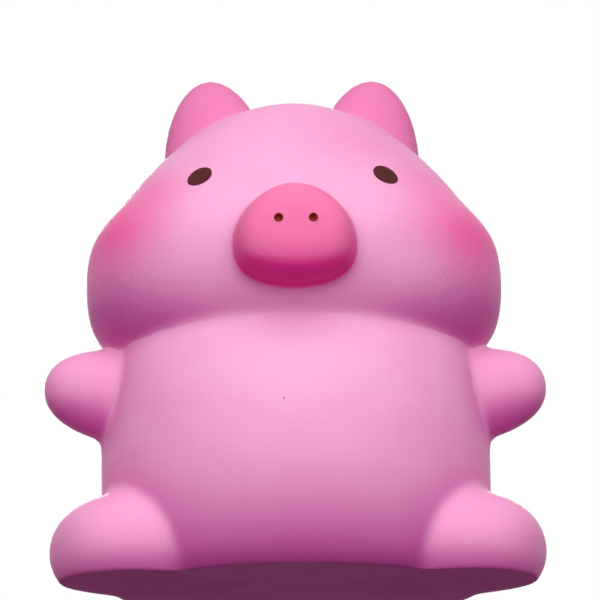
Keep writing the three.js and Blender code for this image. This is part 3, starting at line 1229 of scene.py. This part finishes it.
def dimple_mesh(name, profile, mouth):
    """A profile turned about a nostril's axis, as a closed mesh."""
    places, faces = lathe(profile, sides=40)
    places = turned(places, -math.pi / 2, "X") + np.array(mouth)
    mesh = bpy.data.meshes.new(name)
    mesh.from_pydata(places.tolist(), [], faces)
    mesh.update()
    return mesh


def dimple_cutter(mouth, proud=2 * MM):
    """A closed plug of the shape that a nostril's dimple takes out of the snout."""
    size = settings("face")
    profile = [(0.0, -proud)]
    profile += dimple_profile(size.nostril_diameter / 2, size.nostril_depth, proud)
    cutter = bpy.data.objects.new("dimple_cutter", dimple_mesh("dimple_cutter", profile, mouth))
    bpy.context.scene.collection.objects.link(cutter)
    return cutter


def drilled_snout():
    """The snout's closed mesh with both dimples cut into it."""
    mesh = moulding().piece("snout")
    blank = bpy.data.objects.new("snout_blank", mesh)
    bpy.context.scene.collection.objects.link(blank)
    cutters = [dimple_cutter(mouth) for _, mouth in nostril_places()]
    for cutter in cutters:
        cut = blank.modifiers.new("dimple", "BOOLEAN")
        cut.object = cutter
        cut.operation = "DIFFERENCE"
        cut.solver = "EXACT"
    graph = bpy.context.evaluated_depsgraph_get()
    drilled = bpy.data.meshes.new_from_object(blank.evaluated_get(graph))
    if len(drilled.polygons) < len(mesh.polygons):
        raise RuntimeError("the dimples weren't cut into the snout")
    for tool in (blank, *cutters):
        bpy.data.objects.remove(tool)
    return drilled


class PIG_OT_snout(bpy.types.Operator):
    """Builds the snout with its two dimples"""

    bl_idname = "squishy_pig.snout"
    bl_label = "Snout"

    def execute(self, context):
        squeeze_with_head(foam_piece("snout", drilled_snout(), head_paint()))
        return {"FINISHED"}


def print_paint(name, middle, rim):
    """Matt paint, a little cloudy, that thins towards its edge."""
    paints = Paints(name)
    edge = paints.ranged(paints.noted(PRINT_RING), low=0.7, high=1.0)
    clouds = paints.noise(PRINT_CLOUD_GRAIN, detail=2.0)
    thinner = paints.ranged(clouds, low=0.35, high=0.65, to_high=0.3)
    colour = paints.mix(paints.combine("MAXIMUM", edge, thinner), pink(middle), pink(rim))
    smoothest, roughest = PRINT_ROUGHNESS
    rough = paints.patches(PRINT_SHEEN_GRAIN, detail=2.0, low=smoothest, high=roughest)
    peel = paints.noise(PRINT_PEEL_GRAIN, detail=2.0)
    return paints.finish(colour, rough, PRINT_SHINE, (peel, PRINT_PEEL_HEIGHT))


def printed_piece(node, mesh, levels, material):
    """A small piece of paint with notes of how near its rim is, its place baked into its mesh."""
    smoothed(mesh)
    note(mesh, PRINT_RING, levels)
    piece = shown(mesh.name, mesh, material)
    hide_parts(node)
    squeeze_with_head(piece)


def printed_disc(name, middle, normal, radius, proud, rings=7, sides=56):
    """A thin closed disc that lies on the skin with a feathered edge, and each point's ring."""
    sunk = 0.25 * MM
    above = 6 * MM
    thinned = 0.8
    feather = 6
    right = normal.cross(Vector((0, 0, 1))).normalized()
    up = normal.cross(right)
    top, levels = [], []
    for ring in range(rings + 1):
        level = ring / rings
        lift = proud * (1 - thinned * level**feather)
        for i in range(sides if ring else 1):
            angle = 2 * math.pi * i / sides
            flat = middle + radius * level * (math.cos(angle) * right + math.sin(angle) * up)
            hit = moulding().tree.ray_cast(flat + normal * above, -normal)[0]
            if hit is None:
                raise RuntimeError("a print misses the skin")
            top.append(hit + normal * lift)
            levels.append(level)
    count = len(top)
    faces = []
    for i in range(sides):
        j = (i + 1) % sides
        faces.append((0, 1 + i, 1 + j))
        for ring in range(rings - 1):
            low = 1 + ring * sides
            faces.append((low + i, low + sides + i, low + sides + j, low + j))
    faces += [tuple(count + corner for corner in reversed(face)) for face in faces]
    rim = 1 + (rings - 1) * sides
    for i in range(sides):
        j = (i + 1) % sides
        faces.append((rim + i, count + rim + i, count + rim + j, rim + j))
    places = top + [place - normal * sunk for place in top]
    mesh = bpy.data.meshes.new(name)
    mesh.from_pydata([tuple(p) for p in places], [], faces)
    return mesh, np.array(levels + levels)


class PIG_OT_eyes(bpy.types.Operator):
    """Prints both round eyes on the head's skin"""

    bl_idname = "squishy_pig.eyes"
    bl_label = "Eyes"

    def execute(self, context):
        size = settings("face")
        material = print_paint("eye_brown", "eye", "eye_rim")
        for node, side in (("eye_left", -1), ("eye_right", 1)):
            middle, normal = skin_in_front(side * size.eye_spacing / 2 - size.shift, size.eye_height)
            radius = size.eye_diameter / 2
            mesh, levels = printed_disc(node + "_print", middle, normal, radius, size.eye_proud)
            printed_piece(node, mesh, levels, material)
        return {"FINISHED"}


class PIG_OT_nostrils(bpy.types.Operator):
    """Paints both nostrils brown inside"""

    bl_idname = "squishy_pig.nostrils"
    bl_label = "Nostrils"

    def execute(self, context):
        size = settings("face")
        soaked = 0.04 * MM
        radius, depth = size.nostril_diameter / 2, size.nostril_depth
        material = print_paint("nostril_brown", "nostril", "nostril")
        for node, mouth in nostril_places():
            inner = dimple_profile(radius - size.nostril_paint, depth - size.nostril_paint)
            outer = dimple_profile(radius + soaked, depth + soaked)
            mesh = dimple_mesh(node + "_paint", inner[::-1] + outer, mouth)
            printed_piece(node, mesh, np.zeros(len(mesh.vertices)), material)
        return {"FINISHED"}


def way_back(azimuth, elevation):
    """From the pig towards a place seen to the right of its front and above the level."""
    return Vector(
        (
            math.sin(azimuth) * math.cos(elevation),
            -math.cos(azimuth) * math.cos(elevation),
            math.sin(elevation),
        )
    )


def soft_box(name, azimuth, elevation, size, level, distance=1.0, aim=(0.0, 0.0, 0.055)):
    """A square lamp that lights a white card facing it to the given level."""
    light = bpy.data.lights.new(name, "AREA")
    light.shape = "SQUARE"
    light.size = size
    slope = size / math.hypot(size, 2 * distance)
    caught = 4 / math.pi * slope * math.atan(slope)
    light.energy = level * math.pi * size**2 / caught
    holder = bpy.data.objects.new(name, light)
    back = way_back(math.radians(azimuth), math.radians(elevation))
    holder.location = Vector(aim) + back * distance
    holder.rotation_mode = "QUATERNION"
    holder.rotation_quaternion = (-back).to_track_quat("-Z", "Y")
    holder.visible_camera = False
    bpy.context.scene.collection.objects.link(holder)


# The sky's own light, from straight below to straight above.
SKY = (
    (-1.0, (0.08, 0.12, 0.08)),
    (-0.5, (0.15, 0.02, 0.13)),
    (0.0, (0.36, 0.01, 0.26)),
    (0.5, (0.04, 0.01, 0.03)),
    (1.0, (0.02, 0.02, 0.02)),
)


def seen_directly(nodes):
    """A socket that is 1 for what the camera sees, itself or in a reflection, and 0 for light."""
    path = nodes.add("ShaderNodeLightPath").outputs
    seen = nodes.combine("MAXIMUM", path["Is Camera Ray"], path["Is Glossy Ray"])
    return nodes.combine("MAXIMUM", seen, path["Is Transmission Ray"])


def studio_world():
    """White to look at, and a soft pink light of its own that is strongest at the horizon."""
    world = bpy.data.worlds.new("studio")
    bpy.context.scene.world = world
    world.use_nodes = True
    nodes = Nodes(world.node_tree)
    way = nodes.add("ShaderNodeTexCoord").outputs["Generated"]
    height = nodes.add("ShaderNodeSeparateXYZ", {0: way}).outputs["Z"]
    up_share = nodes.ranged(height, low=-1.0, high=1.0, curve="LINEAR")
    sky = nodes.add("ShaderNodeValToRGB", {"Fac": up_share})
    stops = sky.color_ramp.elements
    while len(stops) < len(SKY):
        stops.new(0.5)
    for stop, (up, tint) in zip(stops, SKY):
        stop.position = (up + 1) / 2
        stop.color = (*tint, 1.0)
    colour = nodes.mix(seen_directly(nodes), sky.outputs["Color"], (1.0, 1.0, 1.0))
    nodes.set(world.node_tree.nodes["Background"].inputs["Color"], colour)


def floor_paint(fade_start=0.07, fade_end=0.45):
    """Pale round the pig, white to look at farther off, and clear from below."""
    paints = Paints("floor_pale")
    shader = paints.shader
    shader.inputs["Base Color"].default_value = (0.93, 0.93, 0.93, 1.0)
    shader.inputs["Roughness"].default_value = 0.7
    shader.inputs["Specular IOR Level"].default_value = 0.2
    sides = paints.add("ShaderNodeNewGeometry").outputs
    far = paints.ranged(paints.reach(sides["Position"]), low=fade_start, high=fade_end)
    white = paints.add("ShaderNodeEmission").outputs[0]
    looked_at = paints.combine("MULTIPLY", far, seen_directly(paints))
    pale = paints.mix_shaders(looked_at, shader.outputs[0], white)
    clear = paints.add("ShaderNodeBsdfTransparent").outputs[0]
    surface = paints.mix_shaders(sides["Backfacing"], pale, clear)
    paints.set(paints.tree.nodes["Material Output"].inputs["Surface"], surface)
    return paints.material


def studio_floor(half=1.5, gap=0.2 * MM):
    """A pale floor just under the sole that keeps the pig's shadow."""
    level = CAD_LOW.z - gap
    corners = [(-half, -half, level), (half, -half, level), (half, half, level), (-half, half, level)]
    mesh = bpy.data.meshes.new("floor")
    mesh.from_pydata(corners, [], [(0, 1, 2, 3)])
    floor = shown("floor", mesh, floor_paint())
    floor.visible_diffuse = False
    floor.visible_transmission = False
    floor.visible_shadow = False


def studio_camera():
    """The camera at the photograph's place, below the sole and far off."""
    studio = settings("studio")
    back = way_back(studio.azimuth, studio.elevation)
    data = bpy.data.cameras.new("camera")
    data.sensor_width = 36.0
    data.lens = studio.lens
    data.clip_start = 0.05
    data.clip_end = 20.0
    camera = bpy.data.objects.new("camera", data)
    camera.location = Vector(studio.aim) + back * studio.distance
    camera.rotation_mode = "QUATERNION"
    level = (-back).to_track_quat("-Z", "Y")
    camera.rotation_quaternion = level @ Matrix.Rotation(studio.roll, 3, "Z").to_quaternion()
    bpy.context.scene.collection.objects.link(camera)
    bpy.context.scene.camera = camera


class PIG_OT_stage(bpy.types.Operator):
    """Sets the camera, the soft lamps, the white surroundings and the floor"""

    bl_idname = "squishy_pig.stage"
    bl_label = "Stage"

    def execute(self, context):
        context.scene.view_settings.view_transform = "Standard"
        studio_camera()
        studio_world()
        studio_floor()
        soft_box("key", azimuth=-1, elevation=37, size=1.8, level=0.93)
        soft_box("back", azimuth=180, elevation=14, size=0.35, level=0.6)
        return {"FINISHED"}


OPERATORS = (
    PIG_OT_torso,
    PIG_OT_arms,
    PIG_OT_legs,
    PIG_OT_tail,
    PIG_OT_head,
    PIG_OT_ears,
    PIG_OT_snout,
    PIG_OT_eyes,
    PIG_OT_nostrils,
    PIG_OT_stage,
)

SETTINGS = {
    "torso": PigTorsoSizes,
    "head": PigHeadSizes,
    "limbs": PigLimbSizes,
    "face": PigFaceSizes,
    "foam": PigFoamForm,
    "paints": PigPaints,
    "studio": PigStudio,
}


class PIG_PT_sidebar(bpy.types.Panel):
    """Lists the pig's pieces and its stage"""

    bl_idname = "PIG_PT_sidebar"
    bl_label = "Squishy Pig"
    bl_space_type = "VIEW_3D"
    bl_region_type = "UI"
    bl_category = "Squishy Pig"

    def draw(self, context):
        for operator in OPERATORS:
            self.layout.operator(operator.bl_idname)


def register():
    for kind, group in SETTINGS.items():
        bpy.utils.register_class(group)
        setattr(bpy.types.Scene, "squishy_pig_" + kind, PointerProperty(type=group))
    for operator in OPERATORS:
        bpy.utils.register_class(operator)
    bpy.utils.register_class(PIG_PT_sidebar)


def unregister():
    bpy.utils.unregister_class(PIG_PT_sidebar)
    for operator in reversed(OPERATORS):
        bpy.utils.unregister_class(operator)
    for kind, group in SETTINGS.items():
        delattr(bpy.types.Scene, "squishy_pig_" + kind)
        bpy.utils.unregister_class(group)


def main():
    register()
    for operator in OPERATORS:
        family, action = operator.bl_idname.split(".")
        getattr(getattr(bpy.ops, family), action)()


if __name__ == "__main__":
    main()
